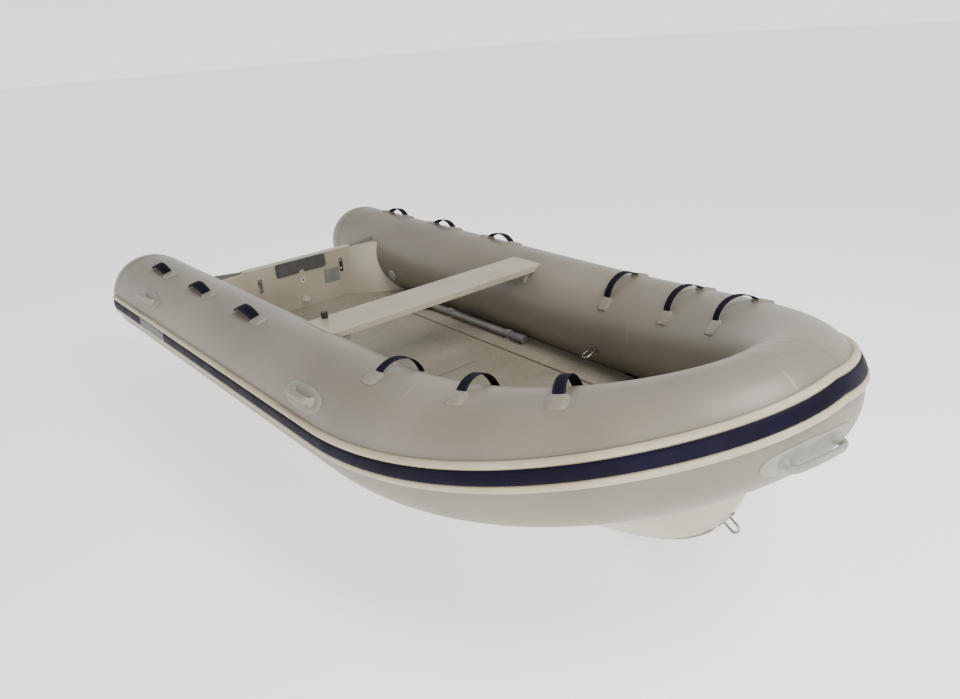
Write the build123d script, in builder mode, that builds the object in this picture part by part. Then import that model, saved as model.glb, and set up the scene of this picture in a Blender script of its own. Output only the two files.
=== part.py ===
"""Rigid inflatable dinghy: moulded hull, inflated collar, transom, thwart and fittings.

Frame: +X to the bow, +Y to port, +Z up, millimetres. The origin is on the ground that
the keel stands on, under the middle of the outline box.
"""
import math
import os

from build123d import *

# --- driving dimensions -------------------------------------------------------
# collar
tube_r = 200.0
tube_z = 470.0  # height of the collar's axis along the sides
stern_x = -1524.0  # centre of the round aft ends
bow_x = 438.0  # the collar leaves its straight run here
bow_length = 1091.0  # from there to the middle of the bow, along X
bow_rise = 209.0  # climb of the axis to the middle of the bow
bow_slim = 0.2  # share by which the collar is slimmer there
stern_y = 632.0  # half distance between the axes at the aft ends
bow_y = 590.0  # the same where the bow curve starts
wall_turn = 16.0  # turn of the bow curve at the wall between two air chambers
wall_half = 0.07  # half thickness of that wall, as a turn
fit_gap = 0.4  # bonding gap round the collar
# hull, sole and transom
skin_t = 7.0
stem_back = 48.0  # the hull ends this far behind the collar's middle at the bow
keel_half = 45.0  # half width of the flat under the level keel
stem_half = 16.0  # the same at the top of the stem
keel_low = 5.0  # underside of the bare keel, over the guard strip
keel_bow_x = 855.0  # the keel starts to rise into the stem here
keel_bow_length = 600.0
keel_bow_rise = 420.0
chine_in = 48.0  # the chine runs this far inboard of the collar's axis
chine_down = 208.0  # and this far under it
chine_lip = 38.0  # height of the flange over the chine
sole_z = 310.0
sole_t = 10.0
transom_x = -1141.0  # inner face
transom_t = 46.0
transom_top = 572.0
transom_half = 304.0
# thwart
thwart_x = -53.0  # aft edge
thwart_w = 178.0
thwart_t = 26.0
thwart_top = 656.0
thwart_half = 530.0  # before its ends are scooped to the collar
# rubbing strake
strake_half = 41.0  # half height, measured round the collar
strake_t = 14.0
strake_gap = 1.0  # thickness of its glue line
groove_t = 8.0
stripe_half = 19.0
stripe_t = 4.5
strake_aft_angle = 1.0  # the strake's centre over the horizontal, in degrees
strake_bow_angle = 34.0
# fittings
strap_w = 38.0
strap_t = 3.5
strap_rise = 28.0
patch_t = 2.5
rod_r = 4.0  # stainless rod of the eyes
oar_y = 396.0
oar_r = 16.0
oar_z = sole_z + oar_r + 14.0

os.makedirs("parts", exist_ok=True)


def save(part, name):
    """Label a finished piece and write it as parts/name.step."""
    part.label = name
    export_step(part, f"parts/{name}.step")


# --- the collar's axis and section planes --------------------------------------
def side_y(x):
    """Half distance between the axes at station x of the straight run."""
    return stern_y + (bow_y - stern_y) * (x - stern_x) / (bow_x - stern_x)


def axis_at(turn):
    """Starboard axis in the bow curve: turn 0 starts it, 90 is the middle of the bow."""
    s, c = math.sin(math.radians(turn)), math.cos(math.radians(turn))
    return Vector(bow_x + bow_length * s, -bow_y * c, tube_z + bow_rise * s**2)


def radius_at(turn):
    """The collar's radius in the bow curve: slimmest in the middle of the bow."""
    return tube_r * (1 - bow_slim * math.sin(math.radians(turn)) ** 2)


def ahead_at(turn):
    """Unit tangent of the starboard bow curve, towards the bow."""
    s, c = math.sin(math.radians(turn)), math.cos(math.radians(turn))
    return Vector(bow_length * c, bow_y * s, 2 * bow_rise * s * c).normalized()


def ring(turn=None, x=None):
    """Section plane of the starboard collar: local x outboard, local y up, z aft."""
    if x is not None:
        return Plane(origin=(x, -side_y(x), tube_z), x_dir=(0, -1, 0), z_dir=(-1, 0, 0))
    ahead = ahead_at(turn)
    outboard = ahead.cross(Vector(0, 0, 1)).normalized()
    return Plane(origin=axis_at(turn), x_dir=outboard, z_dir=ahead * -1)


def skin_plane(rise, angle, turn=None, x=None):
    """Plane over the starboard skin: x aft, z outwards, at an angle up from outboard."""
    section = ring(turn=turn, x=x)
    radius = rise + (tube_r if turn is None else radius_at(turn))
    a = math.radians(angle)
    out = section.x_dir * math.cos(a) + section.y_dir * math.sin(a)
    return Plane(origin=section.origin + out * radius, x_dir=section.z_dir, z_dir=out)


def bow_round(grow, turns):
    """Length of the bow curve, round, with its radius grown."""
    with BuildPart() as run:
        for turn in turns:
            with BuildSketch(ring(turn=turn)):
                Circle(radius_at(turn) + grow)
        loft()
    return run.part


def straight_round(grow):
    """Length of the straight run, round, with its radius grown."""
    with BuildPart() as run:
        for section in (ring(x=stern_x), ring(turn=0)):
            with BuildSketch(section):
                Circle(tube_r + grow)
        loft()
    return run.part


def joined(*pieces):
    """Several pieces made into one."""
    with BuildPart() as whole:
        for piece in pieces:
            add(piece)
    return whole.part


def cut(piece, *tools):
    """A piece with the tools taken away."""
    with BuildPart() as rest:
        add(piece)
        for tool in tools:
            add(tool, mode=Mode.SUBTRACT)
    return rest.part


def common(piece, tool):
    """What two pieces share."""
    with BuildPart() as shared:
        add(piece)
        add(tool, mode=Mode.INTERSECT)
    return shared.part


def mirrored(piece):
    """The port twin of a starboard piece."""
    with BuildPart() as twin:
        mirror(piece, about=Plane.XZ)
    return twin.part


side_turns = (0, 5, 10, wall_turn)
bow_turns = [wall_turn + (90 - wall_turn) * i / 6 for i in range(7)]


def whole_round(grow):
    """The collar's outline grown by a distance, both sides and the bow, as one solid."""
    half = joined(straight_round(grow), bow_round(grow, side_turns), bow_round(grow, bow_turns))
    return joined(half, mirrored(half))


# --- inflated collar ------------------------------------------------------------
side_chamber = joined(
    straight_round(0),
    bow_round(0, (0, 5, 10, wall_turn - wall_half)),
)
save(side_chamber, "chamber_starboard")
save(mirrored(side_chamber), "chamber_port")

bow_half = bow_round(0, [wall_turn + wall_half] + bow_turns[1:])
save(joined(bow_half, mirrored(bow_half)), "chamber_bow")

chamber_wall = bow_round(-2, (wall_turn - wall_half, wall_turn + wall_half))
save(chamber_wall, "chamber_wall_starboard")
save(mirrored(chamber_wall), "chamber_wall_port")

with BuildPart() as end_cone:
    with Locations((stern_x, -stern_y, tube_z)):
        Sphere(tube_r)
    split(bisect_by=Plane(origin=(stern_x, 0, 0), z_dir=(-1, 0, 0)), keep=Keep.TOP)
save(end_cone.part, "end_cone_starboard")
save(mirrored(end_cone.part), "end_cone_port")

collar = whole_round(fit_gap)


# --- moulded hull -----------------------------------------------------------------
def keel_z(x):
    """Underside of the keel: level, then a quarter ellipse up the stem."""
    u = max(0.0, (x - keel_bow_x) / keel_bow_length)
    return keel_low + keel_bow_rise * (1 - math.sqrt(1 - u * u))


def chine(x):
    """Chine point (half breadth, height) at station x."""
    if x <= bow_x:
        return side_y(x) - chine_in, tube_z - chine_down
    u = (x - bow_x) / bow_length
    narrowing = math.sqrt(1 - ((x - bow_x) / (bow_length - stem_back)) ** 2)
    drop = chine_down * (1 - bow_slim * u**2)
    return (bow_y - chine_in) * narrowing, tube_z + bow_rise * u**2 - drop


def keel_width(x):
    """Half width of the keel's flat, which narrows up the stem."""
    u = min(1.0, max(0.0, (x - keel_bow_x + 250) / 700))
    return keel_half + (stem_half - keel_half) * u


def hull_section(x, inset, lift):
    """Half outline of the hull at station x, moved inwards by the inset, its flange raised."""
    low, flat = keel_z(x), keel_width(x)
    breadth, height = chine(x)
    run, rise = breadth - flat, height - low
    shift = inset * math.hypot(run, rise) / run
    lip = chine_lip * (1 + max(0.0, x - bow_x) / bow_length)

    def bottom(y):
        return low + shift + (y - flat) * rise / run

    low_y = flat - 0.6 * inset
    side = breadth - inset
    return [(low_y, bottom(low_y)), (side, bottom(side)), (side, height + lip + lift)]


bow_stations = (605, 765, 865, 965, 1055, 1135, 1205, 1265, 1325, 1375, 1410, 1435, 1451)
hull_stations = (transom_x - transom_t, bow_x) + bow_stations


def hull_body(inset, lift=0.0):
    """Solid inside the hull's outline, with the flange raised by the lift."""
    with BuildPart() as body:
        for x in hull_stations:
            half = hull_section(x, inset, lift)
            outline = half + [(-y, z) for y, z in reversed(half)]
            with BuildSketch(Plane(origin=(x, 0, 0), x_dir=(0, 1, 0), z_dir=(1, 0, 0))):
                with BuildLine():
                    Polyline(*outline, close=True)
                make_face()
        loft(ruled=True)
    return body.part


hull_outer = hull_body(0)
hollow = cut(hull_body(skin_t, lift=60), whole_round(fit_gap + skin_t))
hull_bare = cut(hull_outer, collar, hollow)


def stem_plane(height):
    """Plane on the stem at a height: x along the stem to the bow, z out of the keel."""
    share = 1 - (height - keel_low) / keel_bow_rise
    u = math.sqrt(1 - share * share)
    slope = keel_bow_rise / keel_bow_length * u / share
    along = Vector(1, 0, slope).normalized()
    out = Vector(slope, 0, -1).normalized()
    return Plane(origin=(keel_bow_x + keel_bow_length * u, 0, height), x_dir=along, z_dir=out)


def plate(plane, width, height, depth, corner=4.0, sunk=0.0):
    """Rounded rectangular plate standing on a plane."""
    with BuildPart() as body:
        with BuildSketch(plane.offset(-sunk)):
            RectangleRounded(width, height, corner)
        extrude(amount=depth + sunk)
    return body.part


def disc(plane, radius, depth, sunk=0.0):
    """Round disc or pin standing on a plane."""
    with BuildPart() as body:
        with BuildSketch(plane.offset(-sunk)):
            Circle(radius)
        extrude(amount=depth + sunk)
    return body.part


def u_bolt(plane, gap, height, sunk):
    """Rod bent to a U: the legs stand on the plane's x axis, the loop rises along its z."""
    upright = Plane(origin=plane.origin, x_dir=plane.x_dir, z_dir=plane.x_dir.cross(plane.z_dir))
    with BuildPart() as body:
        with BuildLine(upright) as path:
            Line((-gap, -sunk), (-gap, height - gap))
            ThreePointArc((-gap, height - gap), (0, height), (gap, height - gap))
            Line((gap, height - gap), (gap, -sunk))
        with BuildSketch(Plane(origin=path.line @ 0, z_dir=path.line % 0)):
            Circle(rod_r)
        sweep()
    return body.part


# --- transom ------------------------------------------------------------------------
transom_aft = transom_x - transom_t
aft_face = Plane(origin=(transom_aft, 0, 0), x_dir=(0, 1, 0), z_dir=(1, 0, 0))
inner_face = Plane(origin=(transom_x, 0, 0), x_dir=(0, 1, 0), z_dir=(1, 0, 0))
outer_face = Plane(origin=(transom_aft, 0, 0), x_dir=(0, -1, 0), z_dir=(-1, 0, 0))
shoulder_y, shoulder_z = 383.0, 529.0  # foot of the chamfer beside the level top edge
eye_y, eye_z, eye_gap = 234.0, 482.0, 22.0  # stern eyes
grommet_z, grommet_r, grommet_hole = 457.0, 12.0, 5.5
drain_z, drain_r, drain_hole = 345.0, 17.0, 12.0

with BuildPart() as transom_above:
    with BuildSketch(aft_face):
        with BuildLine():
            half = [(0, transom_top), (transom_half, transom_top), (shoulder_y, shoulder_z)]
            half += [(470, 480), (530, 299)]
            Polyline(*half, *[(-y, z) for y, z in reversed(half[1:])], close=True)
        make_face()
    extrude(amount=transom_t)

with BuildPart() as transom_below:
    with BuildSketch(aft_face):
        with Locations((0, 150)):
            Rectangle(1300, 300)
    extrude(amount=transom_t)

transom = joined(transom_above.part, common(transom_below.part, hull_outer))
transom = cut(transom, collar, hull_bare)
rod_holes = [
    disc(Plane(origin=(transom_aft, y, eye_z + z), z_dir=(1, 0, 0)), rod_r + 0.3, transom_t)
    for y in (-eye_y, eye_y)
    for z in (-eye_gap, eye_gap)
]
transom = cut(
    transom,
    *rod_holes,
    disc(Plane(origin=(transom_aft, 0, grommet_z), z_dir=(1, 0, 0)), grommet_r - 4, transom_t),
    disc(Plane(origin=(transom_aft, 0, drain_z), z_dir=(1, 0, 0)), drain_r - 2, transom_t),
)
save(transom, "transom")

# corner fairings between the transom and the collar
with BuildPart() as knee:
    for z, inboard, ahead in ((sole_z, 252.0, 235.0), (transom_top - 4, 302.0, 85.0)):
        with BuildSketch(Plane.XY.offset(z)):
            with BuildLine():
                Polyline((transom_x, -inboard), (transom_x, -540), (transom_x + ahead, -540), close=True)
            make_face()
    loft(ruled=True)
knee_starboard = cut(knee.part, collar, hull_bare)
save(knee_starboard, "knee_starboard")
save(mirrored(knee_starboard), "knee_port")

# fabric that closes the corner between the chamfer and the collar
with BuildPart() as gusset:
    with BuildSketch(Plane(origin=(transom_aft + 20, 0, 0), x_dir=(0, 1, 0), z_dir=(1, 0, 0))):
        with BuildLine():
            outline = [(-transom_half, transom_top), (-482, 590), (-495, 505), (-450, 485)]
            Polyline(*outline, (-shoulder_y, shoulder_z), close=True)
        make_face()
    extrude(amount=3)
gusset_starboard = cut(gusset.part, collar, transom)
save(gusset_starboard, "transom_gusset_starboard")
save(mirrored(gusset_starboard), "transom_gusset_port")

# clamp plates of the outboard motor
with BuildPart() as motor_plate_inner:
    with BuildSketch(inner_face):
        with Locations((0, transom_top - 37)):
            RectangleRounded(284, 70, 14)
        with Locations((0, transom_top - 72)):
            Circle(17, mode=Mode.SUBTRACT)
    extrude(amount=6)
save(motor_plate_inner.part, "motor_plate_inner")

with BuildPart() as motor_plate_outer:
    with BuildSketch(outer_face):
        with Locations((0, transom_top - 62)):
            RectangleRounded(284, 116, 14)
    extrude(amount=8)
grommet_way = disc(Plane(origin=(transom_aft - 8, 0, grommet_z), z_dir=(1, 0, 0)), grommet_r + 5, 8)
save(cut(motor_plate_outer.part, grommet_way), "motor_plate_outer")

# grommet for the fuel and control lines
with BuildPart() as grommet:
    with BuildSketch(Plane(origin=(transom_aft - 3, 0, grommet_z), z_dir=(1, 0, 0))):
        Circle(grommet_r + 4)
        Circle(grommet_hole, mode=Mode.SUBTRACT)
    extrude(amount=3)
    with BuildSketch(Plane(origin=(transom_aft, 0, grommet_z), z_dir=(1, 0, 0))):
        Circle(grommet_r - 4.2)
        Circle(grommet_hole, mode=Mode.SUBTRACT)
    extrude(amount=transom_t)
    with BuildSketch(Plane(origin=(transom_x, 0, grommet_z), z_dir=(1, 0, 0))):
        Circle(grommet_r + 4)
        Circle(grommet_hole, mode=Mode.SUBTRACT)
    extrude(amount=3)
save(grommet.part, "line_grommet")

# bilge drain: a lined bore and a plug with a knob
with BuildPart() as drain_socket:
    with BuildSketch(Plane(origin=(transom_aft, 0, drain_z), z_dir=(1, 0, 0))):
        Circle(drain_r - 2.2)
        Circle(drain_hole, mode=Mode.SUBTRACT)
    extrude(amount=transom_t)
    with BuildSketch(Plane(origin=(transom_x, 0, drain_z), z_dir=(1, 0, 0))):
        Circle(drain_r + 6)
        Circle(drain_hole, mode=Mode.SUBTRACT)
    extrude(amount=3)
save(drain_socket.part, "drain_socket")

with BuildPart() as drain_plug:
    with BuildSketch(Plane(origin=(transom_x - 30, 0, drain_z), z_dir=(1, 0, 0))):
        Circle(drain_hole - 0.4)
    extrude(amount=33.3)
    with BuildSketch(Plane(origin=(transom_x + 3.3, 0, drain_z), z_dir=(1, 0, 0))):
        Circle(drain_r)
    extrude(amount=5)
    with BuildSketch(Plane(origin=(transom_x + 8.3, 0, drain_z), z_dir=(1, 0, 0))):
        RectangleRounded(9, 28, 3)
    extrude(amount=12)
save(drain_plug.part, "drain_plug")

# stern eyes: U rods through the transom; inside, backing plates with two nuts each
backing_plates = []
for side, y in (("starboard", -eye_y), ("port", eye_y)):
    outer = Plane(origin=(transom_aft, y, eye_z), x_dir=(0, 0, 1), z_dir=(-1, 0, 0))
    save(u_bolt(outer, eye_gap, 42, transom_t + 14), f"stern_eye_{side}")
    inner = Plane(origin=(transom_x, y, eye_z), x_dir=(0, 0, 1), z_dir=(1, 0, 0))
    with BuildPart() as backing:
        with BuildSketch(inner):
            RectangleRounded(72, 20, 5)
            with Locations((-eye_gap, 0), (eye_gap, 0)):
                Circle(rod_r + 0.3, mode=Mode.SUBTRACT)
        extrude(amount=2.5)
        with BuildSketch(inner.offset(2.5)):
            with Locations((-eye_gap, 0), (eye_gap, 0)):
                RegularPolygon(8, 6)
                Circle(rod_r + 0.3, mode=Mode.SUBTRACT)
        extrude(amount=6.5)
    backing_plates.append(backing.part)
save(joined(*backing_plates), "stern_eye_plates")

# capacity plate, blank, with its rivets
with BuildPart() as capacity_plate:
    with BuildSketch(inner_face):
        with Locations((172, 440)):
            RectangleRounded(92, 76, 5)
    extrude(amount=1.2)
    with BuildSketch(inner_face.offset(1.2)):
        with Locations((172, 440)):
            with GridLocations(80, 64, 2, 2):
                Circle(2.5)
    extrude(amount=1)
save(capacity_plate.part, "capacity_plate")

# --- sole -----------------------------------------------------------------------------
sole_end = 1325.0
with BuildPart() as sole_slab:
    with BuildSketch(Plane.XY.offset(sole_z - sole_t)):
        with Locations(((transom_x + sole_end) / 2, 0)):
            Rectangle(sole_end - transom_x, 1200)
    extrude(amount=sole_t)
    with BuildSketch(Plane.XY.offset(sole_z)):
        with Locations((-85, 455), (-85, -455)):
            Rectangle(1560, 300)
    extrude(amount=8)
tall_hull = hull_body(0, lift=250)
sole = cut(common(sole_slab.part, tall_hull), collar, hull_bare, transom)
save(sole, "sole")

walk_aft, walk_fore = -875.0, 95.0
walk_panel = plate(
    Plane(origin=((walk_aft + walk_fore) / 2, 0, sole_z)), walk_fore - walk_aft, 304, 5, corner=22
)
save(walk_panel, "sole_panel")

# --- keel guard and bow eye --------------------------------------------------------------
guard_top = 190.0  # height on the stem where the strip ends


def keel_offset(x, drop):
    """Point under the keel at station x, moved out of it by the drop."""
    if x <= keel_bow_x:
        return (x, keel_low - drop)
    u = (x - keel_bow_x) / keel_bow_length
    slope = keel_bow_rise / keel_bow_length * u / math.sqrt(1 - u * u)
    size = math.hypot(1, slope)
    return (x + drop * slope / size, keel_z(x) - drop / size)


guard_ends = (transom_aft + 20, keel_bow_x + keel_bow_length * 0.84)
curve_x = [keel_bow_x + (guard_ends[1] - keel_bow_x) * i / 6 for i in range(7)]
with BuildPart() as keel_guard:
    with BuildSketch(Plane.XZ):
        with BuildLine():
            Line((guard_ends[0], 0), (keel_bow_x, 0))
            Spline(*[keel_offset(x, keel_low) for x in curve_x], tangents=[(1, 0), (1, 1.08)])
            Line(keel_offset(curve_x[-1], keel_low), keel_offset(curve_x[-1], -3))
            Spline(*[keel_offset(x, -3) for x in reversed(curve_x)])
            Line(keel_offset(keel_bow_x, -3), (guard_ends[0], keel_low + 3))
            Line((guard_ends[0], keel_low + 3), (guard_ends[0], 0))
        make_face()
    extrude(amount=stem_half - 2, both=True)
level_middle = Plane(origin=((guard_ends[0] + keel_bow_x) / 2, 0, 0))
keel_pad = plate(level_middle, keel_bow_x - guard_ends[0], 2 * keel_half - 6, keel_low + 3)
save(cut(joined(keel_guard.part, keel_pad), hull_outer), "keel_guard")

stem = stem_plane(252.0)
bow_holes = [
    disc(Plane(origin=stem.origin + stem.x_dir * g, z_dir=stem.z_dir), rod_r + 0.3, 10, 40)
    for g in (-16, 16)
]
hull = cut(hull_bare, *bow_holes)
save(hull, "hull")
bow_plate = cut(plate(stem, 74, 22, 3, corner=6, sunk=8), hull_outer, *bow_holes)
save(bow_plate, "bow_eye_plate")
save(u_bolt(stem, 16, 46, 22), "bow_eye")

# --- rubbing strake ------------------------------------------------------------------------
def strake_angle(turn):
    """Angle of the strake's centre over the horizontal."""
    return strake_aft_angle + (strake_bow_angle - strake_aft_angle) * (turn / 90) ** 1.12


def strake_point(spot, offset, arc):
    """Point in a section plane at an arc length from the strake's centre line."""
    radius, angle = spot
    a = math.radians(angle) + arc / radius
    return ((radius + offset) * math.cos(a), (radius + offset) * math.sin(a))


def strake_run(sections):
    """Strake moulding with two beads and a groove, lofted through section planes."""
    with BuildPart() as run:
        for plane, spot in sections:
            low = strake_point(spot, strake_gap, -strake_half)
            high = strake_point(spot, strake_gap, strake_half)
            bead = [
                (strake_t - 4, strake_half - 1),
                (strake_t, strake_half - 7),
                (strake_t, stripe_half + 5),
                (groove_t, stripe_half + 1),
            ]
            upper = [strake_point(spot, rise, arc) for rise, arc in bead]
            lower = [strake_point(spot, rise, -arc) for rise, arc in reversed(bead)]
            with BuildSketch(plane):
                with BuildLine():
                    ThreePointArc(low, strake_point(spot, strake_gap, 0), high)
                    Polyline(high, *upper, *lower, low)
                make_face()
        loft()
    return run.part


def stripe_run(sections):
    """Flat inlay lying in the groove of the strake."""
    with BuildPart() as run:
        for plane, spot in sections:
            outline = [(0.3, -stripe_half), (0.3, stripe_half), (stripe_t, stripe_half - 1)]
            outline.append((stripe_t, -stripe_half + 1))
            with BuildSketch(plane):
                with BuildLine():
                    Polyline(*[strake_point(spot, groove_t + h, a) for h, a in outline], close=True)
                make_face()
        loft()
    return run.part


def straight_sections(aft, fore):
    """Section planes at two stations of the straight run."""
    return [(ring(x=aft), (tube_r, strake_aft_angle)), (ring(x=fore), (tube_r, strake_aft_angle))]


def bow_sections(turns):
    """Section planes at turns of the bow curve."""
    return [(ring(turn=turn), (radius_at(turn), strake_angle(turn))) for turn in turns]


def side_run(builder, aft):
    """A moulding from a station of the straight run to the wall between the chambers."""
    return joined(builder(straight_sections(aft, bow_x)), builder(bow_sections(side_turns)))


strake_aft = stern_x + 8
panel_aft, panel_fore = stern_x + 385, stern_x + 690
strake_side = side_run(strake_run, strake_aft)
strake_nose = strake_run(bow_sections(bow_turns))
strake_near = joined(strake_side, strake_nose)
save(joined(strake_near, mirrored(strake_near)), "strake")

# navy inlay in the groove, with a plain panel let into it on either side
stripe_side = side_run(stripe_run, panel_fore)
stripe_nose = stripe_run(bow_sections(bow_turns))
stripe_tail = stripe_run(straight_sections(strake_aft, panel_aft))
stripe_near = joined(stripe_side, stripe_nose, stripe_tail)
save(joined(stripe_near, mirrored(stripe_near)), "strake_inlay")
name_panel = stripe_run(straight_sections(panel_aft + 1, panel_fore - 1))
save(joined(name_panel, mirrored(name_panel)), "name_panels")

# --- grab handles -----------------------------------------------------------------------------
patch_top = whole_round(fit_gap + patch_t)
strap_foot = whole_round(2 * fit_gap + patch_t)


def arch(plane, points, width):
    """Webbing band through three points of a plane, with its own thickness."""
    (x0, y0), (x1, y1), (x2, y2) = points
    taper = 0.9 * strap_t
    with BuildPart() as band:
        with BuildSketch(plane):
            with BuildLine():
                ThreePointArc((x0, y0), (x1, y1), (x2, y2))
                Line((x2, y2), (x2 - taper, y2 - 2))
                ThreePointArc((x2 - taper, y2 - 2), (x1, y1 - strap_t), (x0 + taper, y0 - 2))
                Line((x0 + taper, y0 - 2), (x0, y0))
            make_face()
        extrude(amount=width / 2, both=True)
    return cut(band.part, strap_foot)


def upright_on(skin, along):
    """Plane standing on a skin plane, its y out of the skin and its x along a direction."""
    return Plane(origin=skin.origin, x_dir=along, z_dir=along.cross(skin.z_dir))


def foot_patch(skin, length, width):
    """Fabric patch bonded to the collar round a foot of the webbing."""
    block = plate(skin, length, width, 20, corner=14, sunk=40)
    return cut(common(block, patch_top), collar)


half_span = 78.0
aft_handles = (334.0, 781.0, 1239.0)  # ahead of the aft ends' centre
fore_handles = (7.5, 27.0, 45.0)  # turns of the bow curve
aft_angle = 77.0
fore_out, fore_in = 84.0, 134.0  # feet of the forward handles, round the collar
patches, aft_bands, fore_bands = [], [], []

for ahead in aft_handles:
    skin = skin_plane(0, aft_angle, x=stern_x + ahead)
    upright = upright_on(skin, skin.x_dir)
    aft_bands.append(arch(upright, [(-half_span, -2), (0, strap_rise), (half_span, -2)], strap_w))
    for reach in (-half_span - 6, half_span + 6):
        foot = skin_plane(0, aft_angle, x=stern_x + ahead + reach)
        patches.append(foot_patch(foot, 60, 58))

for turn in fore_handles:
    section = ring(turn=turn)
    middle = skin_plane(0, (fore_out + fore_in) / 2, turn=turn)
    upright = upright_on(middle, section.z_dir.cross(middle.z_dir))
    half_turn = math.radians((fore_in - fore_out) / 2)
    span = radius_at(turn) * math.sin(half_turn)
    sag = radius_at(turn) * (1 - math.cos(half_turn))
    fore_bands.append(arch(upright, [(-span, -sag - 2), (0, strap_rise), (span, -sag - 2)], strap_w))
    for angle in (fore_out - 2, fore_in + 2):
        patches.append(foot_patch(skin_plane(0, angle, turn=turn), 58, 60))

groups = {"straps_aft": aft_bands, "straps_fore": fore_bands, "patches": patches}
for name, pieces in groups.items():
    group = joined(*pieces)
    save(group, f"grab_{name}_starboard")
    save(mirrored(group), f"grab_{name}_port")

# --- carry handles -------------------------------------------------------------------------------
carry_top = whole_round(fit_gap + 4)
carry_root = whole_round(fit_gap + 2)


def carry_handle(skin):
    """Moulded rubber handle: an oval base bonded to the collar and a bar on two lugs."""
    with BuildPart() as oval:
        with BuildSketch(skin.offset(-45)):
            Ellipse(105, 42)
        extrude(amount=70)
    base = cut(common(oval.part, carry_top), collar)
    upright = upright_on(skin, skin.x_dir)
    with BuildPart() as bar:
        with BuildLine(upright) as path:
            FilletPolyline((-60, -12), (-60, 30), (60, 30), (60, -12), radius=14)
        with BuildSketch(Plane(origin=path.line @ 0, z_dir=path.line % 0)):
            Ellipse(11, 7)
        sweep()
    return joined(base, cut(bar.part, carry_root))


carry_aft = carry_handle(skin_plane(0, 34, x=stern_x + 450))
carry_mid = carry_handle(skin_plane(0, 32, x=bow_x - 88))
for name, handle in (("aft", carry_aft), ("mid", carry_mid)):
    save(handle, f"carry_{name}_starboard")
    save(mirrored(handle), f"carry_{name}_port")
save(carry_handle(skin_plane(0, -10, turn=82.5)), "carry_bow")

# --- valves and lifting eyes ------------------------------------------------------------------------
valve_r, cap_r = 28.0, 17.0


def valve(skin):
    """Flanged valve seat bonded to the collar."""
    return cut(disc(skin, valve_r, 7, 12), collar, disc(skin, cap_r + 0.5, 10, 12))


def valve_cap(skin):
    """Cap lying in the valve seat, with a bar to turn it by."""
    with BuildPart() as cap:
        add(disc(skin.offset(1.5), cap_r, 5))
        add(plate(skin.offset(6.5), 26, 7, 5, corner=3))
    return cap.part


side_valve = skin_plane(0, 196, x=stern_x + 587)
bow_valve = skin_plane(0, 190, turn=52)
save(valve(side_valve), "valve_starboard")
save(mirrored(valve(side_valve)), "valve_port")
save(valve_cap(side_valve), "valve_cap_starboard")
save(mirrored(valve_cap(side_valve)), "valve_cap_port")
save(valve(bow_valve), "valve_bow")
save(valve_cap(bow_valve), "valve_cap_bow")

lift = skin_plane(0, 198, turn=5.5)
lift_base = cut(disc(lift, 24, 4, 20), collar)
lifting_eye = joined(lift_base, u_bolt(lift.offset(1.5), 15, 56, 0))
save(lifting_eye, "lifting_eye_starboard")
save(mirrored(lifting_eye), "lifting_eye_port")

# --- thwart ---------------------------------------------------------------------------------------------
seat_x = thwart_x + thwart_w / 2
seat_low = thwart_top - thwart_t
knob_x, knob_y = thwart_x + 20, 455.0  # the one knob is at the starboard end
pin_hole = 4.6
with BuildPart() as plank:
    with BuildSketch(Plane(origin=(seat_x, 0, seat_low))):
        RectangleRounded(thwart_w, 2 * thwart_half, 18)
        with Locations((knob_x - seat_x, -knob_y)):
            Circle(pin_hole, mode=Mode.SUBTRACT)
    extrude(amount=thwart_t)
    fillet(plank.faces().sort_by(Axis.Z)[-1].outer_wire().edges(), radius=5)
shoulder = whole_round(2 * fit_gap)
save(cut(plank.part, shoulder), "thwart")

# wedges on the collar that carry the ends of the thwart; one takes the knob's pin
with BuildPart() as seat_pad:
    with BuildSketch(Plane(origin=(seat_x, -465, 560))):
        RectangleRounded(150, 66, 10)
    extrude(amount=seat_low - 560)
seat_wedge = cut(seat_pad.part, collar)
pin_way = disc(Plane(origin=(knob_x, -knob_y, 560)), pin_hole, 80)
save(cut(seat_wedge, pin_way), "thwart_pad_starboard")
save(mirrored(seat_wedge), "thwart_pad_port")

knob_seat = Plane(origin=(knob_x, -knob_y, thwart_top + 0.3))
with BuildPart() as knob:
    with BuildSketch(knob_seat):
        Circle(13)
        with PolarLocations(15, 5):
            Circle(3.5, mode=Mode.SUBTRACT)
    extrude(amount=24)
    with BuildSketch(knob_seat.offset(-thwart_t - 8)):
        Circle(pin_hole - 0.5)
    extrude(amount=thwart_t + 8)
save(knob.part, "thwart_knob")

# --- stowed oars ------------------------------------------------------------------------------------------
blade_aft, shaft_aft, grip_aft, oar_fore = -875.0, -535.0, 67.0, 135.0


def oar_plane(x):
    """Section plane of the starboard oar at station x, looking forward."""
    return Plane(origin=(x, -oar_y, oar_z), x_dir=(0, 1, 0), z_dir=(1, 0, 0))


oar_shaft = disc(oar_plane(shaft_aft), oar_r, grip_aft - shaft_aft)
with BuildPart() as blade:
    with BuildSketch(Plane(origin=(0, -oar_y, oar_z - 4))):
        with BuildLine():
            outline = [(blade_aft, 50), (shaft_aft - 60, 50), (shaft_aft, 15)]
            Polyline(*outline, *[(x, -y) for x, y in reversed(outline)], close=True)
        make_face()
    extrude(amount=8)
    fillet(blade.edges().filter_by(Axis.Z).group_by(Axis.X)[0], radius=28)
oar = joined(oar_shaft, blade.part)
oar_grip = disc(oar_plane(grip_aft), oar_r + 3, oar_fore - grip_aft)
for name, piece in (("oar", oar), ("oar_grip", oar_grip)):
    save(piece, f"{name}_starboard")
    save(mirrored(piece), f"{name}_port")


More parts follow.
